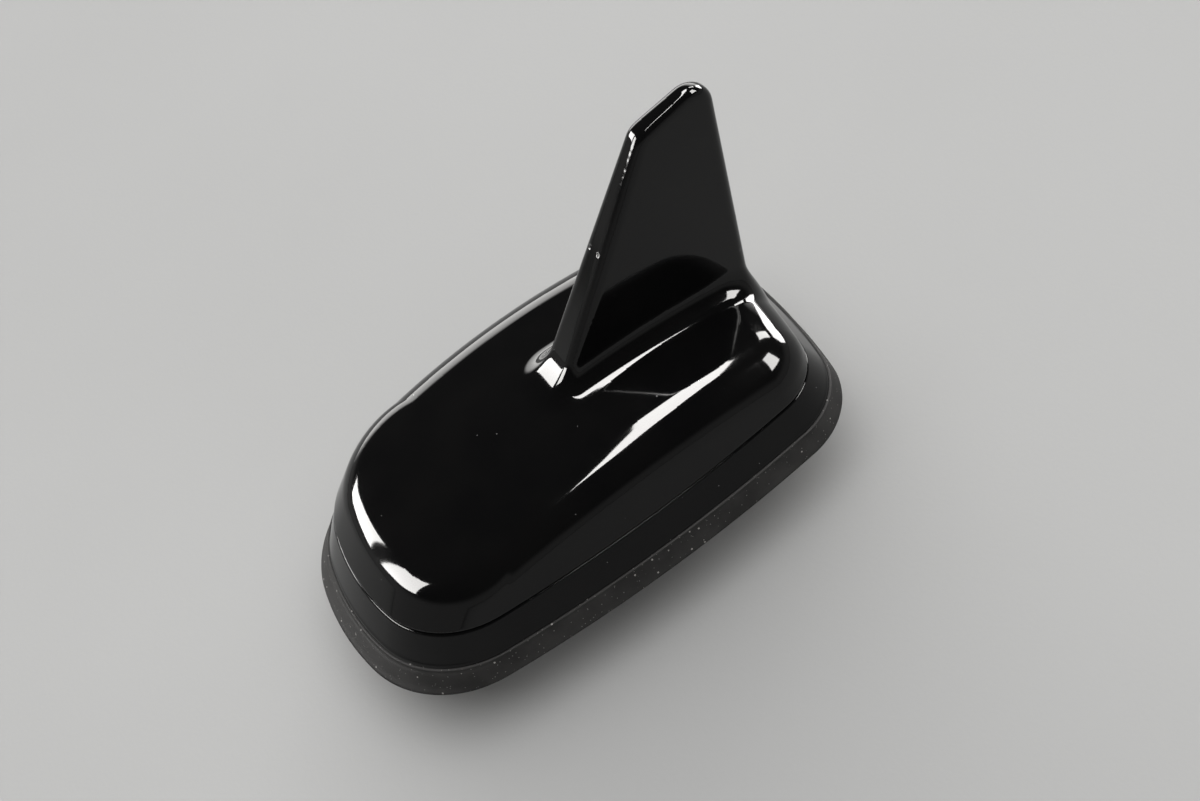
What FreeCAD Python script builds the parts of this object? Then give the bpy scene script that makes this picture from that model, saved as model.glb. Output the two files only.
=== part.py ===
"""Shark fin roof antenna, in millimetres.

Frame: +Z up, nose towards -Y, origin on the stem axis in the plane where the gasket meets the roof.
"""
import FreeCAD, Part
import math
import os
import Sketcher

V = FreeCAD.Vector

# Driving dimensions: (alias, value, note)
SIZES = [
    ("half_length", 59.0, "gasket foot, stem to nose and stem to tail"),
    ("half_width", 35.5, "gasket foot, middle to side"),
    ("tail_end_radius", 128.0, "plan arc across the tail"),
    ("tail_corner_radius", 18.0, "plan arc of a tail corner"),
    ("side_radius", 348.0, "plan arc along a side"),
    ("side_centre_y", 3.0, "where the plan is widest"),
    ("nose_corner_radius", 26.0, "plan arc of a nose corner"),
    ("nose_end_radius", 64.0, "plan arc across the nose"),
    ("gasket_height", 5.2, "roof to the top of the gasket"),
    ("gasket_side_inset", 1.9, "lean of the gasket at the sides"),
    ("gasket_nose_inset", 4.0, "lean of the gasket at the nose"),
    ("gasket_tail_inset", 1.3, "lean of the gasket at the tail"),
    ("seam_height", 12.8, "roof to the shut line"),
    ("seam_side_inset", 4.7, "plan inset at the shut line, sides"),
    ("seam_nose_inset", 9.1, "plan inset at the shut line, nose"),
    ("seam_tail_inset", 4.7, "plan inset at the shut line, tail"),
    ("crown_height", 34.0, "height of the upper guide outline of the hood"),
    ("crown_side_inset", 9.9, "plan inset at the guide outline, sides"),
    ("crown_nose_inset", 28.0, "plan inset at the guide outline, nose"),
    ("crown_tail_inset", 8.0, "plan inset at the guide outline, tail"),
    ("crown_corner_more", 4.0, "extra round of the nose corners at the guide outline"),
    ("deck_height", 28.4, "highest point of the deck"),
    ("deck_peak_in", 51.0, "highest point of the deck, ahead of the tail"),
    ("deck_drop", 10.6, "fall of the deck's arch over half the length"),
    ("deck_cross_radius", 160.0, "crown of the deck, side to side"),
    ("shoulder_radius", 11.0, "round of the hood's shoulder"),
    ("fin_foot_height", 14.0, "height of the fin's lower section"),
    ("fin_foot_front_in", 64.5, "leading edge at the lower section, ahead of the tail"),
    ("fin_foot_rear_in", 7.2, "trailing edge at the lower section, ahead of the tail"),
    ("fin_foot_front_width", 10.6, "front face at the lower section"),
    ("fin_foot_rear_width", 7.0, "rear edge at the lower section"),
    ("fin_top_height", 80.0, "height of the fin's upper section"),
    ("fin_top_front_in", 11.2, "leading edge at the upper section, ahead of the tail"),
    ("fin_top_rear_out", 1.8, "trailing edge at the upper section, behind the tail"),
    ("fin_top_front_width", 4.8, "front face at the upper section"),
    ("fin_top_rear_width", 4.2, "rear edge at the upper section"),
    ("fin_edge_radius", 2.0, "round of the fin's upright edges"),
    ("fin_tip_height", 76.2, "highest point of the fin"),
    ("fin_tip_slope", 10.0, "fall of the fin's top towards the nose, degrees"),
    ("fin_tip_round", 5.0, "round of the fin's upper corners, seen from the side"),
    ("fin_root_radius", 5.0, "hollow round where the fin meets the deck"),
    ("fin_tip_in", 1.5, "where the top is at its full height, ahead of the tail"),
    ("cover_wall", 2.6, "wall of the hood"),
    ("hollow_lean", 3.0, "how much more the hollow closes in at the guide outline"),
    ("fin_wall", 1.8, "wall of the fin's sides"),
    ("fin_front_wall", 3.4, "wall of the fin's sloping front, measured along the part"),
    ("fin_cavity_height", 62.0, "top of the hollow in the fin"),
    ("shut_gap", 0.3, "open line between hood and band"),
    ("frame_wall", 1.8, "wall of the lower band"),
    ("frame_flange", 1.6, "thickness of the band's inner flange"),
    ("frame_opening_inset", 14.0, "plan inset of the flange's opening"),
    ("gasket_lip", 0.4, "how far the gasket's top stands out past the band"),
    ("gasket_rim_inset", 8.0, "plan inset of the gasket's hollow underside"),
    ("gasket_hollow", 2.2, "depth of the hollow underside"),
    ("gasket_rib_inset", 12.0, "plan inset of the sealing rib's outer side"),
    ("gasket_rib_width", 1.8, "width of the sealing rib"),
    ("collar_radius", 14.0, "sealing collar round the stem, outside"),
    ("core_gap", 0.4, "gasket core to the flange's opening"),
    ("plate_thick", 3.0, "base plate"),
    ("plate_side_inset", 6.0, "plan inset of the base plate, sides"),
    ("plate_nose_inset", 9.8, "plan inset of the base plate, nose"),
    ("plate_tail_inset", 6.0, "plan inset of the base plate, tail"),
    ("seal_side_inset", 6.8, "plan inset of the cover seal, sides"),
    ("seal_nose_inset", 11.2, "plan inset of the cover seal, nose"),
    ("seal_tail_inset", 6.8, "plan inset of the cover seal, tail"),
    ("seal_width", 2.2, "width of the cover seal"),
    ("stem_radius", 8.0, "threaded stem, outside"),
    ("stem_shoulder_radius", 9.2, "plain shoulder of the stem, above the roof face"),
    ("stem_bore_radius", 5.0, "lead passage through the stem"),
    ("stem_reach", 12.0, "stem below the roof face"),
    ("stem_flange_radius", 12.2, "flange of the stem"),
    ("stem_flange_thick", 2.0, "thickness of the stem's flange"),
    ("round_gap", 0.3, "air round turned pieces in their holes"),
    ("peg_radius", 2.5, "locating peg under the plate"),
    ("peg_shoulder_radius", 3.3, "root of the locating peg, above the roof face"),
    ("peg_y", 27.0, "locating peg from the stem"),
    ("peg_reach", 4.0, "peg below the roof face"),
    ("grommet_lip_radius", 7.0, "lip of the lead grommet"),
    ("grommet_lip_thick", 1.5, "thickness of that lip"),
    ("grommet_plug", 6.0, "grommet inside the stem"),
    ("lead_hole_radius", 1.4, "hole for a lead"),
    ("lead_circle_radius", 2.5, "circle of the lead holes"),
    ("pillar_height", 4.0, "board pillars"),
    ("pillar_radius", 3.0, "board pillars"),
    ("pillar_side_in", 22.5, "board pillars in from the side"),
    ("pillar_nose_in", 25.8, "front pillars behind the nose"),
    ("pillar_tail_in", 19.0, "rear pillars ahead of the tail"),
    ("board_side_in", 18.5, "main board in from the side"),
    ("board_nose_in", 22.5, "main board behind the nose"),
    ("board_tail_in", 11.0, "main board ahead of the tail"),
    ("board_thick", 1.6, "main board"),
    ("board_lead_hole", 5.5, "lead opening in the board, radius"),
    ("small_screw_radius", 1.0, "board screws"),
    ("small_screw_head_radius", 2.1, "heads of the board screws"),
    ("small_screw_head_thick", 1.4, "heads of the board screws"),
    ("small_screw_length", 5.0, "board screws under the head"),
    ("boss_radius", 3.2, "screw bosses in the hood"),
    ("boss_side_in", 14.8, "screw bosses in from the side"),
    ("boss_nose_in", 37.0, "front bosses behind the nose"),
    ("boss_tail_in", 23.0, "rear bosses ahead of the tail"),
    ("screw_radius", 1.5, "cover screws"),
    ("screw_head_radius", 2.8, "heads of the cover screws"),
    ("screw_head_thick", 1.7, "heads of the cover screws"),
    ("screw_length", 9.0, "cover screws above the head"),
    ("screw_sink", 2.0, "depth of the screw recess in the plate"),
    ("patch_side", 22.0, "ceramic aerial block"),
    ("patch_thick", 4.0, "ceramic aerial block"),
    ("patch_nose_in", 40.0, "aerial block behind the nose"),
    ("electrode_side", 18.0, "silvered face of the block"),
    ("electrode_thick", 0.3, "silvered face of the block"),
    ("feed_radius", 0.7, "feed pin"),
    ("feed_offset", 3.0, "feed pin from the block's middle"),
    ("feed_head_radius", 1.4, "head of the feed pin"),
    ("feed_head_thick", 0.5, "head of the feed pin"),
    ("can_middle_gap", 4.85, "inner wall of the screening cans, from the middle"),
    ("can_side_in", 19.15, "outer wall of the screening cans, in from the side"),
    ("can_stem_gap", 14.5, "front wall of the screening cans, behind the stem"),
    ("can_tail_in", 23.5, "rear wall of the screening cans, ahead of the tail"),
    ("can_height", 3.4, "screening cans"),
    ("can_wall", 0.4, "screening cans"),
    ("chip_side", 5.0, "chips under the cans"),
    ("chip_thick", 1.1, "chips under the cans"),
    ("socket_side", 4.6, "lead sockets"),
    ("socket_base_thick", 1.2, "lead sockets"),
    ("socket_radius", 1.7, "round of the lead sockets"),
    ("socket_height", 2.6, "lead sockets over all"),
    ("socket_x", 7.0, "outer lead sockets from the middle"),
    ("socket_y", 8.6, "lead sockets behind the stem"),
    ("fin_board_thick", 1.0, "upright board in the fin"),
    ("fin_board_front_in", 40.0, "foot of the upright board, front, ahead of the tail"),
    ("fin_board_rear_in", 12.0, "foot of the upright board, rear, ahead of the tail"),
    ("fin_board_top", 58.0, "top of the upright board"),
    ("fin_board_top_front_in", 19.0, "top of the upright board, front, ahead of the tail"),
    ("fin_board_top_rear_in", 7.0, "top of the upright board, rear, ahead of the tail"),
    ("holder_width", 5.0, "holders of the upright board"),
    ("holder_length", 6.0, "holders of the upright board"),
    ("holder_height", 3.8, "holders of the upright board"),
    ("holder_floor", 1.6, "holders of the upright board"),
    ("holder_slot_gap", 0.1, "air on each side of the board in its slot"),
    ("holder_front_in", 36.0, "front holder ahead of the tail"),
    ("holder_rear_in", 18.0, "rear holder ahead of the tail"),
    ("aerial_thick", 0.2, "foil on the upright board"),
    ("aerial_strip", 2.4, "width of the foil strips"),
    ("aerial_length", 9.0, "length of the level strips"),
    ("aerial_pitch", 6.0, "level strips, one above the other"),
    ("aerial_start", 30.0, "lowest level strip"),
    ("aerial_front_in", 18.5, "front of the foil, ahead of the tail"),
]

doc = FreeCAD.newDocument("shark_fin_antenna")
sheet = doc.addObject("Spreadsheet::Sheet", "Sizes")
for row, (alias, value, note) in enumerate(SIZES, start=1):
    sheet.set("A%d" % row, alias)
    sheet.set("B%d" % row, str(value))
    sheet.setAlias("B%d" % row, alias)
    sheet.set("C%d" % row, note)
doc.recompute()


def size(*aliases):
    """Sum of the named cells; a leading minus takes one away."""
    return sum(-float(sheet.get(a[1:])) if a[0] == "-" else float(sheet.get(a)) for a in aliases)


def bound(*aliases):
    """The same sum as an expression that follows the sheet."""
    return " ".join("- Sizes." + a[1:] if a[0] == "-" else "+ Sizes." + a for a in aliases).lstrip("+ ") or "0"


def circles_meet(c1, r1, c2, r2, way):
    """Of the two points where two circles meet, the one further along y, or back along it for a way below zero."""
    gap = c2 - c1
    along = (gap.Length ** 2 + r1 ** 2 - r2 ** 2) / (2 * gap.Length)
    across = math.sqrt(r1 ** 2 - along ** 2)
    unit = gap / gap.Length
    side = V(-unit.y, unit.x, 0) * across
    foot = c1 + unit * along
    return foot + side if side.y * way > 0 else foot - side


def heading(a, b):
    """Direction from a to b as an angle."""
    return math.atan2(b.y - a.y, b.x - a.x)


def pin_value(sketch, constraint, name, expression):
    """Adds a constraint to a sketch and binds it to the sheet."""
    index = sketch.addConstraint(constraint)
    sketch.renameConstraint(index, name)
    sketch.setExpression("Constraints." + name, expression)


def plan_outline(name, level, side=(), nose=(), tail=(), rounder=()):
    """Closed plan outline of eight tangent arcs, drawn in from the foot by the named insets."""
    half = size("half_width") - size(*side)
    nose_y = -size("half_length") + size(*nose)
    tail_y = size("half_length") - size(*tail)
    r_nose, r_tail = size("nose_end_radius") - size(*side), size("tail_end_radius") - size(*side)
    r_fc, r_tc = size("nose_corner_radius") - size(*side), size("tail_corner_radius") - size(*side)
    r_side = size("side_radius") - size(*side)
    r_fc += size(*rounder)
    c_nose, c_tail = V(0, nose_y + r_nose, 0), V(0, tail_y - r_tail, 0)
    c_side = V(half - r_side, size("side_centre_y"), 0)
    c_fc = circles_meet(c_side, r_side - r_fc, c_nose, r_nose - r_fc, -1)
    c_tc = circles_meet(c_side, r_side - r_tc, c_tail, r_tail - r_tc, 1)
    a_nose, a_tail = heading(c_nose, c_fc), heading(c_tail, c_tc)
    a_front, a_back = heading(c_side, c_fc), heading(c_side, c_tc)

    def mirrored(c):
        return V(-c.x, c.y, 0)

    pi = math.pi
    arcs = [
        (c_nose, r_nose, -pi - a_nose, a_nose), (c_fc, r_fc, a_nose, a_front),
        (c_side, r_side, a_front, a_back), (c_tc, r_tc, a_back, a_tail),
        (c_tail, r_tail, a_tail, pi - a_tail), (mirrored(c_tc), r_tc, pi - a_tail, pi - a_back),
        (mirrored(c_side), r_side, pi - a_back, pi - a_front), (mirrored(c_fc), r_fc, pi - a_front, pi - a_nose),
    ]
    sketch = doc.addObject("Sketcher::SketchObject", name)
    for centre, radius, start, end in arcs:
        sketch.addGeometry(Part.ArcOfCircle(Part.Circle(centre, V(0, 0, 1), radius), start, end), False)
    for i in range(8):
        sketch.addConstraint(Sketcher.Constraint("Tangent", i, 2, (i + 1) % 8, 1))
    for i in (0, 4):
        sketch.addConstraint(Sketcher.Constraint("PointOnObject", i, 3, -2))
    less = bound(*["-" + a for a in side]) if side else ""
    radius_cells = ["nose_end_radius", "nose_corner_radius", "side_radius", "tail_corner_radius",
                    "tail_end_radius", "tail_corner_radius", "side_radius", "nose_corner_radius"]
    more = bound(*rounder)
    for i, alias in enumerate(radius_cells):
        text = "Sizes." + alias + " " + less
        if rounder and alias == "nose_corner_radius":
            text += " + " + more
        pin_value(sketch, Sketcher.Constraint("Radius", i, arcs[i][1]), "radius%d" % i, text)
    nose_sum, tail_sum, side_sum = bound(*nose), bound(*tail), bound(*side)
    pin_value(sketch, Sketcher.Constraint("DistanceY", -1, 1, 0, 3, c_nose.y), "nose_centre",
              "Sizes.nose_end_radius - Sizes.half_length + (%s) - (%s)" % (nose_sum, side_sum))
    pin_value(sketch, Sketcher.Constraint("DistanceY", -1, 1, 4, 3, c_tail.y), "tail_centre",
              "Sizes.half_length - Sizes.tail_end_radius - (%s) + (%s)" % (tail_sum, side_sum))
    for i, sign in ((2, ""), (6, "-")):
        centre = arcs[i][0]
        pin_value(sketch, Sketcher.Constraint("DistanceX", -1, 1, i, 3, centre.x), "side_x%d" % i,
                  sign + "(Sizes.half_width - Sizes.side_radius)")
        pin_value(sketch, Sketcher.Constraint("DistanceY", -1, 1, i, 3, centre.y), "side_y%d" % i, "Sizes.side_centre_y")
    sketch.setExpression("Placement.Base.z", bound(*level))
    return sketch


def loft(name, sections):
    """Ruled solid through closed sketches."""
    solid = doc.addObject("Part::Loft", name)
    solid.Sections = sections
    solid.Solid = True
    solid.Ruled = True
    return solid


def fin_section(name, level, front_y, rear_y, front_width, rear_width):
    """Level section of the fin: a long trapezium with a rounded corner at each end of each side."""
    half_front, half_rear = size(*front_width) / 2, size(*rear_width) / 2
    y_front, y_rear = size(*front_y), size(*rear_y)
    corners = [V(half_front, y_front, 0), V(half_rear, y_rear, 0), V(-half_rear, y_rear, 0), V(-half_front, y_front, 0)]
    sketch = doc.addObject("Sketcher::SketchObject", name)
    for i in range(4):
        sketch.addGeometry(Part.LineSegment(corners[i], corners[(i + 1) % 4]), False)
    for i in range(4):
        sketch.addConstraint(Sketcher.Constraint("Coincident", i, 2, (i + 1) % 4, 1))
    wanted = [(0, 1, "DistanceX", corners[0].x, "(" + bound(*front_width) + ") / 2"),
              (0, 1, "DistanceY", y_front, bound(*front_y)),
              (1, 1, "DistanceX", corners[1].x, "(" + bound(*rear_width) + ") / 2"),
              (1, 1, "DistanceY", y_rear, bound(*rear_y)),
              (2, 1, "DistanceX", corners[2].x, "-(" + bound(*rear_width) + ") / 2"),
              (2, 1, "DistanceY", y_rear, bound(*rear_y)),
              (3, 1, "DistanceX", corners[3].x, "-(" + bound(*front_width) + ") / 2"),
              (3, 1, "DistanceY", y_front, bound(*front_y))]
    for i, (line, end, kind, value, expression) in enumerate(wanted):
        pin_value(sketch, Sketcher.Constraint(kind, -1, 1, line, end, value), "c%d" % i, expression)
    sketch.setExpression("Placement.Base.z", bound(*level))
    return sketch


def place(thing, x=(), y=(), z=()):
    """Binds a position to sums of cells."""
    for letter, names in (("x", x), ("y", y), ("z", z)):
        if names:
            thing.setExpression("Placement.Base." + letter, bound(*names))
    return thing


def rod(name, radius, length, x=(), y=(), z=()):
    """Upright cylinder with its foot at the given place."""
    thing = doc.addObject("Part::Cylinder", name)
    thing.setExpression("Radius", bound(*radius))
    thing.setExpression("Height", bound(*length))
    return place(thing, x, y, z)


def block(name, width, length, height, x=(), y=(), z=()):
    """Box centred on x and y, standing on z; width, length and height are sums of cells."""
    thing = doc.addObject("Part::Box", name)
    thing.setExpression("Width", bound(*length))
    thing.setExpression("Length", bound(*width))
    thing.setExpression("Height", bound(*height))
    thing.setExpression("Placement.Base.x", "(%s) - (%s) / 2" % (bound(*x), bound(*width)))
    thing.setExpression("Placement.Base.y", "(%s) - (%s) / 2" % (bound(*y), bound(*length)))
    thing.setExpression("Placement.Base.z", bound(*z))
    return thing


def fused(name, things):
    """One solid from several."""
    thing = doc.addObject("Part::MultiFuse", name)
    thing.Shapes = things
    thing.Refine = True
    return thing


def less(name, base, tools):
    """The base with the tools taken away."""
    tool = tools[0] if len(tools) == 1 else fused(name + "_tools", tools)
    thing = doc.addObject("Part::Cut", name)
    thing.Base = base
    thing.Tool = tool
    return thing


def shared(name, things):
    """What the things have in common."""
    thing = doc.addObject("Part::MultiCommon", name)
    thing.Shapes = things
    return thing


def gathered(name, things):
    """Several like solids as one node."""
    thing = doc.addObject("Part::Compound", name)
    thing.Links = things
    return thing


def extruded(name, sketch, length):
    """Solid straight up from a closed sketch."""
    thing = doc.addObject("Part::Extrusion", name)
    thing.Base = sketch
    thing.DirMode = "Custom"
    thing.Dir = V(0, 0, 1)
    thing.Solid = True
    thing.setExpression("LengthFwd", bound(*length))
    return thing


def rounded(name, base, radius, pick):
    """The base with the picked edges rounded, in a body of its own."""
    doc.recompute()
    body = doc.addObject("PartDesign::Body", name)
    body.BaseFeature = base
    doc.recompute()
    rounding = body.newObject("PartDesign::Fillet", name + "_round")
    start = body.Group[0]
    rounding.Base = (start, ["Edge%d" % (i + 1) for i in pick(start.Shape)])
    rounding.setExpression("Radius", bound(*radius))
    body.Tip = rounding
    doc.recompute()
    return body


def edge_middle(edge):
    return edge.valueAt((edge.FirstParameter + edge.LastParameter) / 2)


def deck_barrel(name, lower):
    """Solid with the deck's double curve: a shallow arc turned about a level axis far below."""
    drop = size("deck_drop")
    long_r, cross_r = (size("half_length") ** 2 + drop ** 2) / (2 * drop), size("deck_cross_radius")
    long_text = "(Sizes.half_length ^ 2 + Sizes.deck_drop ^ 2) / (2 * Sizes.deck_drop)"
    reach = size("half_width")
    fall = cross_r - math.sqrt(cross_r ** 2 - reach ** 2)
    sketch = doc.addObject("Sketcher::SketchObject", name + "_profile")
    centre = V(0, long_r - cross_r, 0)
    start = math.atan2(cross_r - fall, reach)
    sketch.addGeometry(Part.ArcOfCircle(Part.Circle(centre, V(0, 0, 1), cross_r), start, math.pi - start), False)
    corners = [V(-reach, long_r - fall, 0), V(-reach, 0, 0), V(reach, 0, 0), V(reach, long_r - fall, 0)]
    for i in range(3):
        sketch.addGeometry(Part.LineSegment(corners[i], corners[i + 1]), False)
    for i in range(4):
        sketch.addConstraint(Sketcher.Constraint("Coincident", i, 2, (i + 1) % 4, 1))
    sketch.addConstraint(Sketcher.Constraint("PointOnObject", 0, 3, -2))
    sketch.addConstraint(Sketcher.Constraint("Vertical", 1))
    sketch.addConstraint(Sketcher.Constraint("Vertical", 3))
    sketch.addConstraint(Sketcher.Constraint("PointOnObject", 1, 2, -1))
    sketch.addConstraint(Sketcher.Constraint("PointOnObject", 3, 1, -1))
    pin_value(sketch, Sketcher.Constraint("Radius", 0, cross_r), "cross", "Sizes.deck_cross_radius")
    pin_value(sketch, Sketcher.Constraint("DistanceY", -1, 1, 0, 3, centre.y), "axis", long_text + " - Sizes.deck_cross_radius")
    pin_value(sketch, Sketcher.Constraint("DistanceX", -1, 1, 3, 1, reach), "right", "Sizes.half_width")
    pin_value(sketch, Sketcher.Constraint("DistanceX", 1, 2, -1, 1, reach), "left", "Sizes.half_width")
    height = bound("deck_height", *["-" + a for a in lower]) + " - " + long_text
    peak = bound("half_length", "-deck_peak_in")
    barrel = doc.addObject("Part::Revolution", name)
    barrel.Source = sketch
    barrel.Axis = V(1, 0, 0)
    for prefix, thing in (("Placement.Base.", sketch), ("Base.", barrel)):
        thing.setExpression(prefix + "y", peak)
        thing.setExpression(prefix + "z", height)
    barrel.Angle = 360
    barrel.Solid = True
    return barrel


def hood_form(name, wall, lean):
    """The hood without its fin or rounds, drawn in by the wall and closing in by the lean where they are named."""
    low = plan_outline(name + "_low", ["seam_height"], ["seam_side_inset"] + wall, ["seam_nose_inset"] + wall,
                       ["seam_tail_inset"] + wall)
    high = plan_outline(name + "_high", ["crown_height"], ["crown_side_inset"] + wall + lean,
                        ["crown_nose_inset"] + wall + lean, ["crown_tail_inset"] + wall + lean,
                        ["crown_corner_more"])
    return shared(name + "_form", [loft(name + "_walls", [low, high]), deck_barrel(name + "_deck", wall)])


def deck_edges(shape):
    """Edges round the deck."""
    top = max(shape.Faces, key=lambda f: f.CenterOfMass.z)
    return [i for i, e in enumerate(shape.Edges) if any(e.isSame(t) for t in top.Edges)]


def fin_form(name, side_wall, front_wall, rear_wall):
    """The fin as a loft between two level sections."""
    twice = side_wall + side_wall
    minus = ["-" + a for a in twice]
    back_in = ["-" + a for a in rear_wall]
    foot = fin_section(name + "_foot", ["fin_foot_height"], ["half_length", "-fin_foot_front_in"] + front_wall,
                       ["half_length", "-fin_foot_rear_in"] + back_in,
                       ["fin_foot_front_width"] + minus, ["fin_foot_rear_width"] + minus)
    head = fin_section(name + "_head", ["fin_top_height"], ["half_length", "-fin_top_front_in"] + front_wall,
                       ["half_length", "fin_top_rear_out"] + back_in,
                       ["fin_top_front_width"] + minus, ["fin_top_rear_width"] + minus)
    return loft(name, [foot, head])


# Hood: outer form, fin with a sloping tip, root round, then the hollow and the screw bosses
hood_outer = rounded("hood", hood_form("hood_outside", [], []), ["shoulder_radius"], deck_edges)
fin_blank = fin_form("fin_blank", [], [], [])
tip_cut = doc.addObject("Part::Box", "tip_cut")
tip_cut.setExpression("Length", "2 * Sizes.half_width")
tip_cut.setExpression("Width", "2 * Sizes.half_length")
tip_cut.setExpression("Height", "Sizes.half_length")
tip_cut.Placement.Rotation.Axis = V(1, 0, 0)
tip_cut.setExpression("Placement.Rotation.Angle", "Sizes.fin_tip_slope * 1 deg")
tip_cut.setExpression("Placement.Base.x", "-Sizes.half_width")
tip_cut.setExpression("Placement.Base.y", "Sizes.half_length * (1 - cos(Sizes.fin_tip_slope * 1 deg)) - Sizes.fin_tip_in")
tip_cut.setExpression("Placement.Base.z", "Sizes.fin_tip_height - Sizes.half_length * sin(Sizes.fin_tip_slope * 1 deg)")
fin_trimmed = less("fin_trimmed", fin_blank, [tip_cut])


def tip_corners(shape):
    top = max(shape.Faces, key=lambda f: f.CenterOfMass.z)
    level = [i for i, e in enumerate(shape.Edges)
             if any(e.isSame(t) for t in top.Edges) and abs(e.Vertexes[0].Y - e.Vertexes[1].Y) < 0.01]
    return level


def fin_edges(shape):
    rim = []
    for i, e in enumerate(shape.Edges):
        middle = edge_middle(e)
        along = abs(e.Vertexes[0].Y - e.Vertexes[1].Y) + abs(e.Vertexes[0].Z - e.Vertexes[1].Z) > 0.5
        if along and min(v.Z for v in e.Vertexes) + middle.z > size("fin_foot_height") * 2 + 1:
            rim.append(i)
    return rim


fin_cornered = rounded("fin_cornered", fin_trimmed, ["fin_tip_round"], tip_corners)
fin_outer = rounded("fin", fin_cornered, ["fin_edge_radius"], fin_edges)
finned = doc.addObject("Part::Fuse", "finned")
finned.Base, finned.Tool = hood_outer, fin_outer


def root_edges(shape):
    hood_skin, fin_skin = hood_outer.Shape.Shells[0], fin_outer.Shape.Shells[0]
    found = []
    for i, e in enumerate(shape.Edges):
        spot = Part.Vertex(edge_middle(e))
        if hood_skin.distToShape(spot)[0] < 1e-3 and fin_skin.distToShape(spot)[0] < 1e-3:
            found.append(i)
    return found


hood_skin_body = rounded("finned_hood", finned, ["fin_root_radius"], root_edges)
hood_hollow = hood_form("hollow", ["cover_wall"], ["hollow_lean"])
fin_hollow_long = fin_form("fin_hollow_long", ["fin_wall"], ["fin_front_wall"], ["fin_wall"])
fin_hollow_limit = block("fin_hollow_limit", ["half_width"], ["half_length", "half_length", "half_length"], ["fin_cavity_height"])
fin_hollow = shared("fin_hollow", [fin_hollow_long, fin_hollow_limit])
boss_right, boss_left = ["half_width", "-boss_side_in"], ["-half_width", "boss_side_in"]
boss_front, boss_rear = ["-half_length", "boss_nose_in"], ["half_length", "-boss_tail_in"]
boss_places = [(boss_right, boss_front), (boss_left, boss_front), (boss_right, boss_rear), (boss_left, boss_rear)]
plate_top = ["gasket_height", "frame_flange", "plate_thick"]
boss_rods = [rod("boss%d" % i, ["boss_radius"], ["deck_height"], x, y, plate_top) for i, (x, y) in enumerate(boss_places)]
boss_limit = loft("boss_limit", [
    plan_outline("boss_limit_low", plate_top, ["seam_side_inset", "cover_wall"], ["seam_nose_inset", "cover_wall"],
                 ["seam_tail_inset", "cover_wall"]),
    plan_outline("boss_limit_high", ["seam_height"], ["seam_side_inset", "cover_wall"], ["seam_nose_inset", "cover_wall"],
                 ["seam_tail_inset", "cover_wall"])])
hollow_cut = less("hollow_cut", hood_skin_body, [hood_hollow, fin_hollow])
boss_stock = shared("boss_stock", [fused("boss_rods", boss_rods), fused("boss_room", [hood_outer, boss_limit])])
pilots = [rod("pilot%d" % i, ["screw_radius", "round_gap"], ["screw_length", "round_gap"], x, y,
              ["gasket_height", "frame_flange", "screw_sink"]) for i, (x, y) in enumerate(boss_places)]
outer_cover = less("outer_cover", fused("hood_with_bosses", [hollow_cut, boss_stock]), pilots)

# Lower band with an inner flange, held between the base plate and the gasket
frame_outer = loft("frame_outer", [
    plan_outline("frame_low", ["gasket_height"], ["gasket_side_inset", "gasket_lip"], ["gasket_nose_inset", "gasket_lip"],
                 ["gasket_tail_inset", "gasket_lip"]),
    plan_outline("frame_high", ["seam_height", "-shut_gap"], ["seam_side_inset"], ["seam_nose_inset"], ["seam_tail_inset"])])
frame_room = loft("frame_room", [
    plan_outline("frame_room_low", ["gasket_height", "frame_flange"], ["gasket_side_inset", "gasket_lip", "frame_wall"],
                 ["gasket_nose_inset", "gasket_lip", "frame_wall"], ["gasket_tail_inset", "gasket_lip", "frame_wall"]),
    plan_outline("frame_room_high", ["seam_height"], ["seam_side_inset", "frame_wall"], ["seam_nose_inset", "frame_wall"],
                 ["seam_tail_inset", "frame_wall"])])
opening = ["frame_opening_inset"]
frame_window = extruded("frame_window", plan_outline("frame_window_line", [], opening, opening, opening), ["seam_height"])
base_frame = less("base_frame", frame_outer, [frame_room, frame_window])

# Gasket: leaning rim, hollow underside with a sealing rib and a collar, core up to the plate
gasket_rim = loft("gasket_rim", [
    plan_outline("gasket_low", []),
    plan_outline("gasket_high", ["gasket_height"], ["gasket_side_inset"], ["gasket_nose_inset"], ["gasket_tail_inset"])])
core_in = ["frame_opening_inset", "core_gap"]
gasket_core = extruded("gasket_core", plan_outline("gasket_core_line", [], core_in, core_in, core_in),
                       ["gasket_height", "frame_flange"])
rim_in = ["gasket_rim_inset"]
under_hollow = extruded("under_hollow", plan_outline("under_hollow_line", [], rim_in, rim_in, rim_in), ["gasket_hollow"])
rib_out, rib_in = ["gasket_rib_inset"], ["gasket_rib_inset", "gasket_rib_width"]
rib_outer = extruded("rib_outer", plan_outline("rib_outer_line", [], rib_out, rib_out, rib_out), ["gasket_hollow"])
rib_inner = extruded("rib_inner", plan_outline("rib_inner_line", [], rib_in, rib_in, rib_in), ["gasket_hollow"])
gasket_rib = less("gasket_rib", rib_outer, [rib_inner])
collar = rod("collar", ["collar_radius"], ["gasket_hollow"])
gasket_body = fused("gasket_body", [less("gasket_hollowed", fused("gasket_full", [gasket_rim, gasket_core]), [under_hollow]),
                                    gasket_rib, collar])
stem_hole = rod("stem_hole", ["stem_shoulder_radius", "round_gap"], ["deck_height"])
peg_hole = rod("peg_hole", ["peg_shoulder_radius", "round_gap"], ["deck_height"], (), ["peg_y"])
roof_gasket = less("roof_gasket", gasket_body, [stem_hole, peg_hole])

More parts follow.
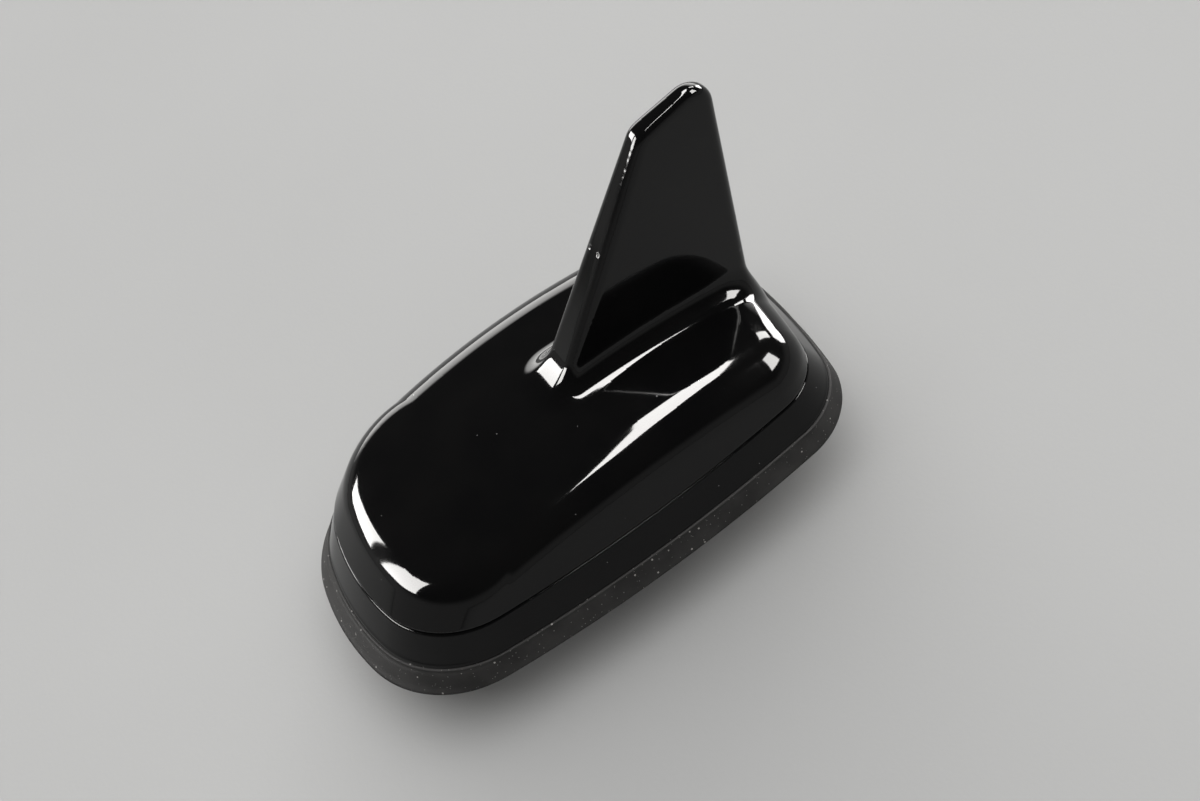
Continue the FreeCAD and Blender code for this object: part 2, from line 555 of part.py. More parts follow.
# Base plate with board pillars, screw recesses and a locating peg
plate_floor = ["gasket_height", "frame_flange"]
plate_slab = extruded("plate_slab", plan_outline("plate_line", plate_floor, ["plate_side_inset"], ["plate_nose_inset"],
                                                 ["plate_tail_inset"]), ["plate_thick"])
pillar_front, pillar_rear = ["-half_length", "pillar_nose_in"], ["half_length", "-pillar_tail_in"]
pillar_right, pillar_left = ["half_width", "-pillar_side_in"], ["-half_width", "pillar_side_in"]
pillar_places = [(pillar_right, pillar_front), (pillar_left, pillar_front), (pillar_right, pillar_rear),
                 (pillar_left, pillar_rear)]
pillars = [rod("pillar%d" % i, ["pillar_radius"], ["plate_thick", "pillar_height"], x, y, plate_floor)
           for i, (x, y) in enumerate(pillar_places)]
peg = rod("peg", ["peg_radius"], plate_floor + ["peg_reach", "plate_thick"], (), ["peg_y"], ["-peg_reach"])
peg_root = rod("peg_root", ["peg_shoulder_radius"], plate_floor, (), ["peg_y"])
plate_holes = [rod("plate_stem_hole", ["stem_shoulder_radius", "round_gap"], ["deck_height"])]
board_floor = plate_top + ["pillar_height"]
board_roof = board_floor + ["board_thick"]
for i, (x, y) in enumerate(boss_places):
    plate_holes.append(rod("recess%d" % i, ["screw_head_radius", "round_gap"], ["screw_sink"], x, y, plate_floor))
    plate_holes.append(rod("through%d" % i, ["screw_radius", "round_gap"], ["deck_height"], x, y, plate_floor))
for i, (x, y) in enumerate(pillar_places):
    plate_holes.append(rod("pillar_hole%d" % i, ["small_screw_radius", "round_gap"], ["pillar_height"], x, y, plate_top))
base_plate = less("base_plate", fused("plate_stock", [plate_slab, peg, peg_root] + pillars), plate_holes)

# Seal between the plate and the hood
seal_outer = extruded("seal_outer", plan_outline("seal_outer_line", plate_top, ["seal_side_inset"], ["seal_nose_inset"],
                                                 ["seal_tail_inset"]), ["seam_height"] + ["-" + a for a in plate_top])
seal_inner = extruded("seal_inner", plan_outline("seal_inner_line", plate_top, ["seal_side_inset", "seal_width"],
                                                 ["seal_nose_inset", "seal_width"], ["seal_tail_inset", "seal_width"]),
                      ["seam_height"])
cover_seal = less("cover_seal", seal_outer, [seal_inner])

# Stem with the lead passage, and its grommet
stem_shank = rod("stem_shank", ["stem_radius"], plate_top + ["stem_reach"], (), (), ["-stem_reach"])
stem_shoulder = rod("stem_shoulder", ["stem_shoulder_radius"], plate_top)
stem_flange = rod("stem_flange", ["stem_flange_radius"], ["stem_flange_thick"], (), (), plate_top)
stem_bore = rod("stem_bore", ["stem_bore_radius"], ["half_length"], (), (), ["-stem_reach"])
threaded_stem = less("threaded_stem", fused("stem_stock", [stem_shank, stem_shoulder, stem_flange]), [stem_bore])
grommet_lip = rod("grommet_lip", ["grommet_lip_radius"], ["grommet_lip_thick"], (), (), ["-stem_reach", "-grommet_lip_thick"])
grommet_plug = rod("grommet_body", ["stem_bore_radius", "-round_gap"], ["grommet_plug"], (), (), ["-stem_reach"])
lead_holes = []
for i, angle in enumerate((90, 210, 330)):
    hole = rod("lead_hole%d" % i, ["lead_hole_radius"], ["half_length"], (), (), ["-stem_reach", "-grommet_lip_thick"])
    hole.setExpression("Placement.Base.x", "Sizes.lead_circle_radius * cos(%d deg)" % angle)
    hole.setExpression("Placement.Base.y", "Sizes.lead_circle_radius * sin(%d deg)" % angle)
    lead_holes.append(hole)
cable_grommet = less("cable_grommet", fused("grommet_stock", [grommet_lip, grommet_plug]), lead_holes)

# Main board and what stands on it
board = block("board_blank", ["half_width", "half_width", "-board_side_in", "-board_side_in"], ["half_length", "half_length", "-board_nose_in", "-board_tail_in"], ["board_thick"],
              (), (), board_floor)
board.setExpression("Placement.Base.y", "Sizes.board_nose_in - Sizes.half_length")
board_holes = [rod("board_lead_opening", ["board_lead_hole"], ["board_thick"], (), (), board_floor)]
for i, (x, y) in enumerate(pillar_places):
    board_holes.append(rod("board_hole%d" % i, ["small_screw_radius", "round_gap"], ["board_thick"], x, y, board_floor))
main_board = less("main_board", board, board_holes)
patch_at = ["-half_length", "patch_nose_in"]
feed_at = patch_at + ["-feed_offset"]
electrode_floor = board_roof + ["patch_thick"]
electrode_roof = electrode_floor + ["electrode_thick"]
feed_way = rod("feed_way", ["feed_radius", "round_gap"], ["deck_height"], (), feed_at, board_roof)
patch_antenna = less("patch_antenna", block("patch_blank", ["patch_side"], ["patch_side"], ["patch_thick"], (), patch_at, board_roof),
                     [feed_way])
patch_electrode = less("patch_electrode", block("electrode_blank", ["electrode_side"], ["electrode_side"], ["electrode_thick"],
                                                (), patch_at, electrode_floor), [feed_way])
feed_shank = rod("feed_shank", ["feed_radius"], ["patch_thick", "electrode_thick"], (), feed_at, board_roof)
feed_head = rod("feed_head", ["feed_head_radius"], ["feed_head_thick"], (), feed_at, electrode_roof)
patch_feed_pin = fused("patch_feed_pin", [feed_shank, feed_head])


can_width = ["half_width", "-can_side_in", "-can_middle_gap"]
can_length = ["half_length", "-can_tail_in", "-can_stem_gap"]


def over_can(name, left, width, length, height):
    """Box centred on a can's place: midway from the middle to the side wall and from the stem to the tail wall."""
    thing = block(name, width, length, height, (), (), board_roof)
    across = "(%s) / 2" % bound("half_width", "-can_side_in", "can_middle_gap")
    along = "(%s) / 2" % bound("half_length", "-can_tail_in", "can_stem_gap")
    if left:
        across = "-" + across
    thing.setExpression("Placement.Base.x", "%s - (%s) / 2" % (across, bound(*width)))
    thing.setExpression("Placement.Base.y", "%s - (%s) / 2" % (along, bound(*length)))
    return thing


def can(name, left):
    """Folded screening can, open below."""
    both_walls = ["-can_wall", "-can_wall"]
    shell = over_can(name + "_outside", left, can_width, can_length, ["can_height"])
    room = over_can(name + "_room", left, can_width + both_walls, can_length + both_walls, ["can_height", "-can_wall"])
    return less(name, shell, [room])


amplifier_can = can("amplifier_can", False)
tuner_can = can("tuner_can", True)
amplifier_chip = over_can("amplifier_chip", False, ["chip_side"], ["chip_side"], ["chip_thick"])
tuner_chip = over_can("tuner_chip", True, ["chip_side"], ["chip_side"], ["chip_thick"])
sockets = []
for i, x in enumerate((["-socket_x"], (), ["socket_x"])):
    foot = block("socket_foot%d" % i, ["socket_side"], ["socket_side"], ["socket_base_thick"], x, ["socket_y"], board_roof)
    barrel = rod("socket_barrel%d" % i, ["socket_radius"], ["socket_height"], x, ["socket_y"], board_roof)
    sockets.append(fused("socket%d" % i, [foot, barrel]))
lead_sockets = gathered("lead_sockets", sockets)

# Upright board in the fin, its foil and its two holders
slot_floor = board_roof + ["holder_floor"]
fin_board_line = doc.addObject("Sketcher::SketchObject", "fin_board_line")
fin_board_line.Placement = FreeCAD.Placement(V(0, 0, 0), FreeCAD.Rotation(V(1, 1, 1), 120))
line_points = [(["half_length", "-fin_board_front_in"], slot_floor), (["half_length", "-fin_board_rear_in"], slot_floor),
               (["half_length", "-fin_board_top_rear_in"], ["fin_board_top"]),
               (["half_length", "-fin_board_top_front_in"], ["fin_board_top"])]
for i in range(4):
    (ya, za), (yb, zb) = line_points[i], line_points[(i + 1) % 4]
    fin_board_line.addGeometry(Part.LineSegment(V(size(*ya), size(*za), 0), V(size(*yb), size(*zb), 0)), False)
for i in range(4):
    fin_board_line.addConstraint(Sketcher.Constraint("Coincident", i, 2, (i + 1) % 4, 1))
for i, (y, z) in enumerate(line_points):
    pin_value(fin_board_line, Sketcher.Constraint("DistanceX", -1, 1, i, 1, size(*y)), "across%d" % i, bound(*y))
    pin_value(fin_board_line, Sketcher.Constraint("DistanceY", -1, 1, i, 1, size(*z)), "height%d" % i, bound(*z))
fin_board = doc.addObject("Part::Extrusion", "fin_board")
fin_board.Base = fin_board_line
fin_board.DirMode = "Custom"
fin_board.Dir = V(1, 0, 0)
fin_board.Solid = True
fin_board.Symmetric = True
fin_board.setExpression("LengthFwd", "Sizes.fin_board_thick")


def holder(name, y):
    """Slotted foot that grips the upright board."""
    body = block(name + "_blank", ["holder_width"], ["holder_length"], ["holder_height"], (), ["half_length", "-" + y], board_roof)
    slot = block(name + "_slot", ["fin_board_thick", "holder_slot_gap", "holder_slot_gap"], ["half_width"], ["holder_height"],
                 (), ["half_length", "-" + y], slot_floor)
    return less(name, body, [slot])


fin_holder_front = holder("fin_holder_front", "holder_front_in")
fin_holder_rear = holder("fin_holder_rear", "holder_rear_in")
strips = []
for i in range(5):
    strip = doc.addObject("Part::Box", "strip%d" % i)
    strip.setExpression("Length", "Sizes.aerial_thick")
    strip.setExpression("Width", "Sizes.aerial_length")
    strip.setExpression("Height", "Sizes.aerial_strip")
    strip.setExpression("Placement.Base.x", "Sizes.fin_board_thick / 2")
    strip.setExpression("Placement.Base.y", "Sizes.half_length - Sizes.aerial_front_in")
    strip.setExpression("Placement.Base.z", "Sizes.aerial_start + %d * Sizes.aerial_pitch" % i)
    strips.append(strip)
    if i < 4:
        link = doc.addObject("Part::Box", "strip_link%d" % i)
        link.setExpression("Length", "Sizes.aerial_thick")
        link.setExpression("Width", "Sizes.aerial_strip")
        link.setExpression("Height", "Sizes.aerial_pitch")
        link.setExpression("Placement.Base.x", "Sizes.fin_board_thick / 2")
        far = " + Sizes.aerial_length - Sizes.aerial_strip" if i % 2 else ""
        link.setExpression("Placement.Base.y", "Sizes.half_length - Sizes.aerial_front_in" + far)
        link.setExpression("Placement.Base.z", "Sizes.aerial_start + %d * Sizes.aerial_pitch" % i)
        strips.append(link)
fin_aerial = fused("fin_aerial", strips)

# Screws
cover_list, board_list = [], []
head_floor = plate_floor + ["screw_sink", "-screw_head_thick"]
for i, (x, y) in enumerate(boss_places):
    head = rod("screw_head%d" % i, ["screw_head_radius"], ["screw_head_thick"], x, y, head_floor)
    shank = rod("screw_shank%d" % i, ["screw_radius"], ["screw_head_thick", "screw_length"], x, y, head_floor)
    cover_list.append(fused("cover_screw%d" % i, [head, shank]))
for i, (x, y) in enumerate(pillar_places):
    head = rod("small_head%d" % i, ["small_screw_head_radius"], ["small_screw_head_thick"], x, y, board_roof)
    shank = rod("small_shank%d" % i, ["small_screw_radius"], ["small_screw_length"], x, y, board_roof + ["-small_screw_length"])
    board_list.append(fused("board_screw%d" % i, [head, shank]))
cover_screws = gathered("cover_screws", cover_list)
board_screws = gathered("board_screws", board_list)

NODES = [outer_cover, base_frame, roof_gasket, base_plate, cover_seal, threaded_stem, cable_grommet, main_board, patch_antenna,
         patch_electrode, patch_feed_pin, amplifier_can, tuner_can, amplifier_chip, tuner_chip, lead_sockets, fin_board,
         fin_holder_front, fin_holder_rear, fin_aerial, cover_screws, board_screws]
doc.recompute()
bad = [o.Name for o in doc.Objects if "Invalid" in o.State or "Error" in o.State]
if bad:
    raise RuntimeError("objects in error: " + ", ".join(bad))
os.makedirs("parts", exist_ok=True)
for node in NODES:
    shape = node.Shape
    if shape.isNull() or not shape.isValid():
        raise RuntimeError(node.Name + " has no sound shape")
    node.Label = node.Name
    shape.exportStep(os.path.join("parts", node.Name + ".step"))
    print(node.Name, "solids", len(shape.Solids), "volume", round(shape.Volume, 1))
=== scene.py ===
# %% [markdown]
# This lesson dresses a roof antenna: a glossy black hood with an upright fin, a band under a fine shut line,
# and a matte rubber gasket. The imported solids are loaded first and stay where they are. Everything else is
# built round them in metres, in the same frame: nose towards -Y, up along +Z.

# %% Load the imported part
import math

import bmesh
import bpy
import numpy as np
from mathutils import Matrix, Vector


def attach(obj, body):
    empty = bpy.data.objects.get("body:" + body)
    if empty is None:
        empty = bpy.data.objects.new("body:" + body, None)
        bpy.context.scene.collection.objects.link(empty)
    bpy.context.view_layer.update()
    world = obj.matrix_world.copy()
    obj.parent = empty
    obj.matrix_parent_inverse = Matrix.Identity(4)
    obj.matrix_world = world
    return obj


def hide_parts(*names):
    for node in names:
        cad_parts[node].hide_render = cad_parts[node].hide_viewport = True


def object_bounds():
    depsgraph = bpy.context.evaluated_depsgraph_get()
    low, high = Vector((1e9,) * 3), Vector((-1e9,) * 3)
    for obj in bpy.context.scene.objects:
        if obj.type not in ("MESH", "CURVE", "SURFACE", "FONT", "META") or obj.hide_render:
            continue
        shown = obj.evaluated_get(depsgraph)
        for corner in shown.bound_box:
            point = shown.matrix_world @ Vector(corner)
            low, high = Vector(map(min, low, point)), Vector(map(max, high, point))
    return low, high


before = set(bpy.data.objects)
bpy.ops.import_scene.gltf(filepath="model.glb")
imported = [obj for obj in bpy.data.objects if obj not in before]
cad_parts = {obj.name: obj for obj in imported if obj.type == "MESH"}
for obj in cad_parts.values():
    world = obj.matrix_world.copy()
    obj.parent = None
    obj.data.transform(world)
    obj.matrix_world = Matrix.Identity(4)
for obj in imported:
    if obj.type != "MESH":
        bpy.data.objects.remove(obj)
cad_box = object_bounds()
MM = 0.001
print("solids loaded:", len(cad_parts))

# %% [markdown]
# The hood is polished so well that it works as a mirror, and a mirror shows every flat facet. The solids are
# meshed for size, not for shine, so the three outer pieces get fine skins here. All three follow one plan
# outline of eight tangent arcs, which is drawn in more and more towards the top. Sizes are in millimetres.

# %% Sizes of the outer form
HALF_LENGTH, HALF_WIDTH = 59.0, 35.5
NOSE_R, NOSE_CORNER_R = 64.0, 26.0
SIDE_R, SIDE_CENTRE_Y = 348.0, 3.0
TAIL_R, TAIL_CORNER_R = 128.0, 18.0
GASKET_TOP, SEAM, CROWN = 5.2, 12.8, 34.0
INSET_GASKET = np.array([1.9, 4.0, 1.3])
INSET_SEAM = np.array([4.7, 9.1, 4.7])
INSET_CROWN = np.array([9.9, 28.0, 8.0])
CROWN_CORNER_MORE = 4.0
SHUT_GAP, LIP = 0.3, 0.4


# %% Arcs of the plan outline
def unit2(x, y):
    length = np.sqrt(x * x + y * y)
    return x / length, y / length


def arc_centres(side, nose, tail, rounder=0.0):
    """Centres and radii of the arcs for given insets; the inputs may be arrays."""
    r_nose, r_tail, r_side = NOSE_R - side, TAIL_R - side, SIDE_R - side
    r_fc, r_tc = NOSE_CORNER_R - side + rounder, TAIL_CORNER_R - side
    nose_y = -HALF_LENGTH + nose + r_nose
    tail_y = HALF_LENGTH - tail - r_tail
    side_x = HALF_WIDTH - SIDE_R + 0.0 * side

    def corner(r_end, end_y, r_c):
        """Where a corner arc is tangent to the side arc and an end arc."""
        r1, r2 = r_side - r_c, r_end - r_c
        gx, gy = -side_x, end_y - SIDE_CENTRE_Y
        gap = np.sqrt(gx * gx + gy * gy)
        along = (gap * gap + r1 * r1 - r2 * r2) / (2 * gap)
        across = np.sqrt(np.maximum(r1 * r1 - along * along, 0))
        ux, uy = gx / gap, gy / gap
        turn = np.where(uy < 0, 1.0, -1.0)
        return side_x + ux * along - uy * across * turn, SIDE_CENTRE_Y + uy * along + ux * across * turn

    fx, fy = corner(r_nose, nose_y, r_fc)
    tx, ty = corner(r_tail, tail_y, r_tc)
    return dict(r_nose=r_nose, r_tail=r_tail, r_side=r_side, r_fc=r_fc, r_tc=r_tc,
                nose_y=nose_y, tail_y=tail_y, side_x=side_x, fx=fx, fy=fy, tx=tx, ty=ty)


def outline_points(insets, per_arc=(40, 36, 70, 36, 60)):
    """The outline as points, anticlockwise from the nose, for three insets."""
    c = arc_centres(*[np.float64(v) for v in insets])
    a_nose = math.atan2(c["fy"] - c["nose_y"], c["fx"])
    a_front = math.atan2(c["fy"] - SIDE_CENTRE_Y, c["fx"] - c["side_x"])
    a_back = math.atan2(c["ty"] - SIDE_CENTRE_Y, c["tx"] - c["side_x"])
    a_tail = math.atan2(c["ty"] - c["tail_y"], c["tx"])
    spans = [((0, c["nose_y"]), c["r_nose"], -math.pi / 2, a_nose),
             ((c["fx"], c["fy"]), c["r_fc"], a_nose, a_front),
             ((c["side_x"], SIDE_CENTRE_Y), c["r_side"], a_front, a_back),
             ((c["tx"], c["ty"]), c["r_tc"], a_back, a_tail),
             ((0, c["tail_y"]), c["r_tail"], a_tail, math.pi / 2)]
    right = []
    for ((cx, cy), r, a, b), n in zip(spans, per_arc):
        t = np.linspace(a, b, n, endpoint=False)
        right.append(np.stack([cx + r * np.cos(t), cy + r * np.sin(t)], 1))
    right = np.concatenate(right + [np.array([[0.0, c["tail_y"] + c["r_tail"]]])])
    left = right[1:-1][::-1] * [-1, 1]
    return np.concatenate([right, left])


print("outline points:", len(outline_points((0, 0, 0))))

# %% [markdown]
# The hood itself could be modelled with bevels on a boolean, but bevels over a sloping fin leave puckers that
# a mirror finish shows at once. A distance field has no such trouble: each face is a formula, rounds between
# faces are formulas too, and a mesh is then drawn where the field is zero. First the wall and the deck.

# %% Distance to the wall and the deck
DECK_TOP, DECK_PEAK_Y, DECK_LONG_R, DECK_CROSS_R = 28.4, 8.0, 169.50, 160.0
SHOULDER_R = 11.0


def flat_wall(x, y, z):
    """Distance, measured level, to the leaning wall at each height."""
    s = (z - SEAM) / (CROWN - SEAM)
    side, nose, tail = [INSET_SEAM[i] + s * (INSET_CROWN[i] - INSET_SEAM[i]) for i in range(3)]
    c = arc_centres(side, nose, tail, s * CROWN_CORNER_MORE)
    ax = np.abs(x)
    to_nose = np.hypot(ax, y - c["nose_y"]) - c["r_nose"]
    to_tail = np.hypot(ax, y - c["tail_y"]) - c["r_tail"]
    to_side = np.hypot(ax - c["side_x"], y - SIDE_CENTRE_Y) - c["r_side"]
    d = np.maximum(np.maximum(to_nose, to_tail), to_side)
    corners = ((c["fx"], c["fy"], c["r_fc"], "nose", "side"), (c["tx"], c["ty"], c["r_tc"], "side", "tail"))
    for cx, cy, r, first, second in corners:
        ends = {"nose": unit2(cx, cy - c["nose_y"]), "tail": unit2(cx, cy - c["tail_y"]),
                "side": unit2(cx - c["side_x"], cy - SIDE_CENTRE_Y)}
        (ux, uy), (wx, wy) = ends[first], ends[second]
        vx, vy = ax - cx, y - cy
        inside = (ux * vy - uy * vx >= 0) & (vx * wy - vy * wx >= 0)
        d = np.where(inside, np.hypot(vx, vy) - r, d)
    return d


def deck_field(x, y, z):
    """Distance to the double-curved deck."""
    swing = np.hypot(y - DECK_PEAK_Y, z - (DECK_TOP - DECK_LONG_R))
    return np.hypot(x, swing - (DECK_LONG_R - DECK_CROSS_R)) - DECK_CROSS_R


def slope_of(field, x, y, z, step=0.05):
    """Gradient of a field by small steps."""
    along_x = field(x + step, y, z) - field(x - step, y, z)
    along_y = field(x, y + step, z) - field(x, y - step, z)
    along_z = field(x, y, z + step) - field(x, y, z - step)
    return np.stack([along_x, along_y, along_z]) / (2 * step)


def rounded_meet(a, na, b, nb, r):
    """Both fields at once, with a true round of radius r along the edge where they meet."""
    cosine = np.clip((na * nb).sum(0), -0.98, 0.98)
    p, q = a + r, b + r
    sine2 = 1 - cosine * cosine
    in_round = (p > q * cosine) & (q > p * cosine) & (p > -r) & (q > -r)
    reach = np.sqrt(np.maximum(p * p + q * q - 2 * p * q * cosine, 0) / sine2) - r
    return np.where(in_round, reach, np.maximum(a, b))


def body_field(x, y, z):
    """The hood without its fin."""
    wall = flat_wall(x, y, z)
    g = slope_of(flat_wall, x, y, z)
    steep = np.sqrt((g * g).sum(0))
    deck = deck_field(x, y, z)
    return rounded_meet(wall / steep, g / steep, deck, slope_of(deck_field, x, y, z), SHOULDER_R)


# %% [markdown]
# The fin is a thin blade: two nearly flat sides that close in towards the top, a sloping front, a trailing
# edge that leans back, and a top that falls a little towards the nose. Its upright edges have a small round
# and its two upper corners a larger one. A hollow round then blends its foot into the deck.

# %% Distance to the fin, and the whole hood
FIN_LOW, FIN_HIGH = 14.0, 80.0
FRONT_LOW, FRONT_HIGH, REAR_LOW, REAR_HIGH = -5.5, 47.8, 51.8, 60.8
FRONT_HALF_LOW, FRONT_HALF_HIGH, REAR_HALF_LOW, REAR_HALF_HIGH = 5.3, 2.4, 3.5, 2.1
TIP_Y, TIP_Z, TIP_SLOPE = 57.5, 76.2, math.radians(10.0)
FIN_EDGE_R, FIN_TIP_R, FIN_ROOT_R = 2.0, 5.0, 5.0


def line_field(y, z, y0, z0, y1, z1, side):
    """Signed distance in the side view to a straight edge."""
    dy, dz = y1 - y0, z1 - z0
    length = math.hypot(dy, dz)
    return side * ((y - y0) * dz - (z - z0) * dy) / length, (side * dz / length, -side * dy / length)


def fin_profile(y, z):
    """Side view of the fin, with its two upper corners rounded."""
    front, nf = line_field(y, z, FRONT_LOW, FIN_LOW, FRONT_HIGH, FIN_HIGH, -1)
    rear, nr = line_field(y, z, REAR_LOW, FIN_LOW, REAR_HIGH, FIN_HIGH, 1)
    top, nt = line_field(y, z, TIP_Y, TIP_Z, TIP_Y + math.cos(TIP_SLOPE), TIP_Z + math.sin(TIP_SLOPE), -1)
    d = np.maximum(np.maximum(front, rear), top)
    for edge, n in ((front, nf), (rear, nr)):
        cosine = n[0] * nt[0] + n[1] * nt[1]
        p, q = edge + FIN_TIP_R, top + FIN_TIP_R
        in_round = (p > q * cosine) & (q > p * cosine)
        reach = np.sqrt(np.maximum(p * p + q * q - 2 * p * q * cosine, 0) / (1 - cosine ** 2)) - FIN_TIP_R
        d = np.where(in_round, np.maximum(reach, np.minimum(d, front if edge is rear else rear)), d)
    return d


def fin_side(x, y, z):
    """Distance to the nearer side of the blade."""
    t = (z - FIN_LOW) / (FIN_HIGH - FIN_LOW)
    yf = FRONT_LOW + t * (FRONT_HIGH - FRONT_LOW)
    yr = REAR_LOW + t * (REAR_HIGH - REAR_LOW)
    wf = FRONT_HALF_LOW + t * (FRONT_HALF_HIGH - FRONT_HALF_LOW)
    wr = REAR_HALF_LOW + t * (REAR_HALF_HIGH - REAR_HALF_LOW)
    u = (y - yf) / np.maximum(yr - yf, 4.0)
    return np.abs(x) - (wf + u * (wr - wf))


def fin_field(x, y, z):
    side, profile = fin_side(x, y, z) * 0.997, fin_profile(y, z)
    p, q = np.maximum(side + FIN_EDGE_R, 0), np.maximum(profile + FIN_EDGE_R, 0)
    return np.minimum(np.maximum(side, profile), -FIN_EDGE_R) + np.hypot(p, q)


def hood_field(x, y, z):
    """Hood and fin as one moulding."""
    a, b = body_field(x, y, z), fin_field(x, y, z)
    p, q = np.maximum(FIN_ROOT_R - a, 0), np.maximum(FIN_ROOT_R - b, 0)
    return np.maximum(np.minimum(a, b), FIN_ROOT_R) - np.hypot(p, q)


# %% [markdown]
# To turn the field into a mesh, space is cut into small cubes. Each cube that the surface passes through gets
# one point, and each crossed grid line gets a four-sided face. The mesh is split once, and every point is
# then slid along the field's slope until the field is zero, so the skin is as true as the formulas.

# %% Mesh from a field
def skin_from_field(field, low, high, step):
    axes = [np.arange(low[i], high[i] + step, step) for i in range(3)]
    shape = tuple(len(a) for a in axes)
    gx, gy, gz = np.meshgrid(*axes, indexing="ij")
    values = field(gx.ravel(), gy.ravel(), gz.ravel()).reshape(shape)
    inside = values < 0
    count = np.zeros(tuple(n - 1 for n in shape), int)
    for i in (0, 1):
        for j in (0, 1):
            for k in (0, 1):
                count += inside[i:shape[0] - 1 + i, j:shape[1] - 1 + j, k:shape[2] - 1 + k]
    crossed = (count > 0) & (count < 8)
    number = np.full(crossed.shape, -1)
    number[crossed] = np.arange(crossed.sum())
    cells = np.argwhere(crossed)
    points = np.stack([axes[i][cells[:, i]] + step / 2 for i in range(3)], 1)
    faces = []
    for axis in range(3):
        o1, o2 = [(1, 2), (2, 0), (0, 1)][axis]
        first = np.take(inside, range(shape[axis] - 1), axis)
        second = np.take(inside, range(1, shape[axis]), axis)
        for p in np.argwhere(first != second):
            if 0 < p[o1] < shape[o1] - 1 and 0 < p[o2] < shape[o2] - 1:
                ring = []
                for d1, d2 in ((0, 0), (-1, 0), (-1, -1), (0, -1)):
                    q = p.copy()
                    q[o1] += d1
                    q[o2] += d2
                    ring.append(number[tuple(q)])
                faces.append(ring if first[tuple(p)] else ring[::-1])
    return points, faces


def settle(field, points, rounds=6):
    """Slides points onto the surface."""
    for _ in range(rounds):
        x, y, z = points.T
        g = slope_of(field, x, y, z).T
        points = points - g * (np.clip(field(x, y, z), -1.5, 1.5) / np.maximum((g * g).sum(1), 0.05))[:, None]
    return points


def mesh_piece(name, points, faces):
    """A mesh object from points in millimetres."""
    mesh = bpy.data.meshes.new(name)
    corners = [tuple(p) for p in np.asarray(points) * MM]
    mesh.from_pydata(corners, [], [tuple(int(i) for i in f) for f in faces])
    mesh.validate()
    mesh.update()
    piece = bpy.data.objects.new(name, mesh)
    bpy.context.scene.collection.objects.link(piece)
    mesh.polygons.foreach_set("use_smooth", [True] * len(mesh.polygons))
    return piece


# %% Draw the hood
HOOD_EDGE = SEAM + 0.35
HOOD_LOW, HOOD_HIGH = (-36, -56, 8), (36, 66, 78)
CUBE = 1.0
points, faces = skin_from_field(hood_field, HOOD_LOW, HOOD_HIGH, CUBE)
points = settle(hood_field, points, 4)
hood = mesh_piece("hood_skin", points, faces)
shaper = bmesh.new()
shaper.from_mesh(hood.data)
bmesh.ops.subdivide_edges(shaper, edges=shaper.edges[:], cuts=1, use_grid_fill=True)
shaper.to_mesh(hood.data)
shaper.free()
coords = np.empty(len(hood.data.vertices) * 3)
hood.data.vertices.foreach_get("co", coords)
coords = settle(hood_field, coords.reshape(-1, 3) / MM, 6)
hood.data.vertices.foreach_set("co", (coords * MM).ravel())
hood.data.update()
print("hood points:", len(coords))
print("furthest from the surface, mm:", float(np.abs(hood_field(*coords.T)).max()))

# %% [markdown]
# The field runs on below the shut line, so the skin is cut level there. The cut edge is then turned under
# with a tiny round and carried inwards by the wall, because a moulded edge is never knife sharp, and that
# small round is what catches the light along the shut line. Each turn is a drop and a step inwards.

# %% Cut and turn the hood's lower edge
shaper = bmesh.new()
shaper.from_mesh(hood.data)
everything = shaper.verts[:] + shaper.edges[:] + shaper.faces[:]
bmesh.ops.bisect_plane(shaper, geom=everything, plane_co=(0, 0, HOOD_EDGE * MM), plane_no=(0, 0, 1),
                       clear_inner=True)
rim = [e for e in shaper.edges if e.is_boundary]
EDGE_TURNS = ((0.12, 0.02), (0.1, 0.08), (0.08, 0.13), (0.05, 0.2), (0.0, 2.0), (-3.0, 0.3))
for drop, inward in EDGE_TURNS:
    turned = bmesh.ops.extrude_edge_only(shaper, edges=rim)["geom"]
    rim = [g for g in turned if isinstance(g, bmesh.types.BMEdge)]
    for v in [g for g in turned if isinstance(g, bmesh.types.BMVert)]:
        x, y, z = np.array([v.co.x]) / MM, np.array([v.co.y]) / MM, np.array([v.co.z]) / MM
        out = slope_of(flat_wall, x, y, z)[:2, 0]
        out = out / np.linalg.norm(out)
        v.co.x -= out[0] * inward * MM
        v.co.y -= out[1] * inward * MM
        v.co.z -= drop * MM
bmesh.ops.recalc_face_normals(shaper, faces=shaper.faces[:])
shaper.to_mesh(hood.data)
shaper.free()
hood.data.polygons.foreach_set("use_smooth", [True] * len(hood.data.polygons))
hood.data.update()
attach(hood, "root")
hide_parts("outer_cover")
print("hood faces:", len(hood.data.polygons))

# %% [markdown]
# The band and the gasket are the same outline at several heights, joined ring by ring like hoops of a barrel.
# Each ring is given by its height, how far it has moved from one inset to the next, and a plain inset on top.
# Close rings at an edge make its round.

# %% A ringed piece
def ring(z, insets, extra=0.0):
    flat = outline_points(np.asarray(insets) + extra)
    return np.column_stack([flat, np.full(len(flat), z)])


def hooped(name, rings):
    """Joins rings of equal length into one skin, round and round."""
    n = len(rings[0])
    faces = []
    for k in range(len(rings)):
        a, b = k * n, ((k + 1) % len(rings)) * n
        for i in range(n):
            j = (i + 1) % n
            faces.append((a + i, a + j, b + j, b + i))
    piece = mesh_piece(name, np.concatenate(rings), faces)
    shaper = bmesh.new()
    shaper.from_mesh(piece.data)
    bmesh.ops.recalc_face_normals(shaper, faces=shaper.faces[:])
    shaper.to_mesh(piece.data)
    shaper.free()
    piece.data.polygons.foreach_set("use_smooth", [True] * len(piece.data.polygons))
    return piece


def between(a, b, t):
    return np.asarray(a) + (np.asarray(b) - np.asarray(a)) * t


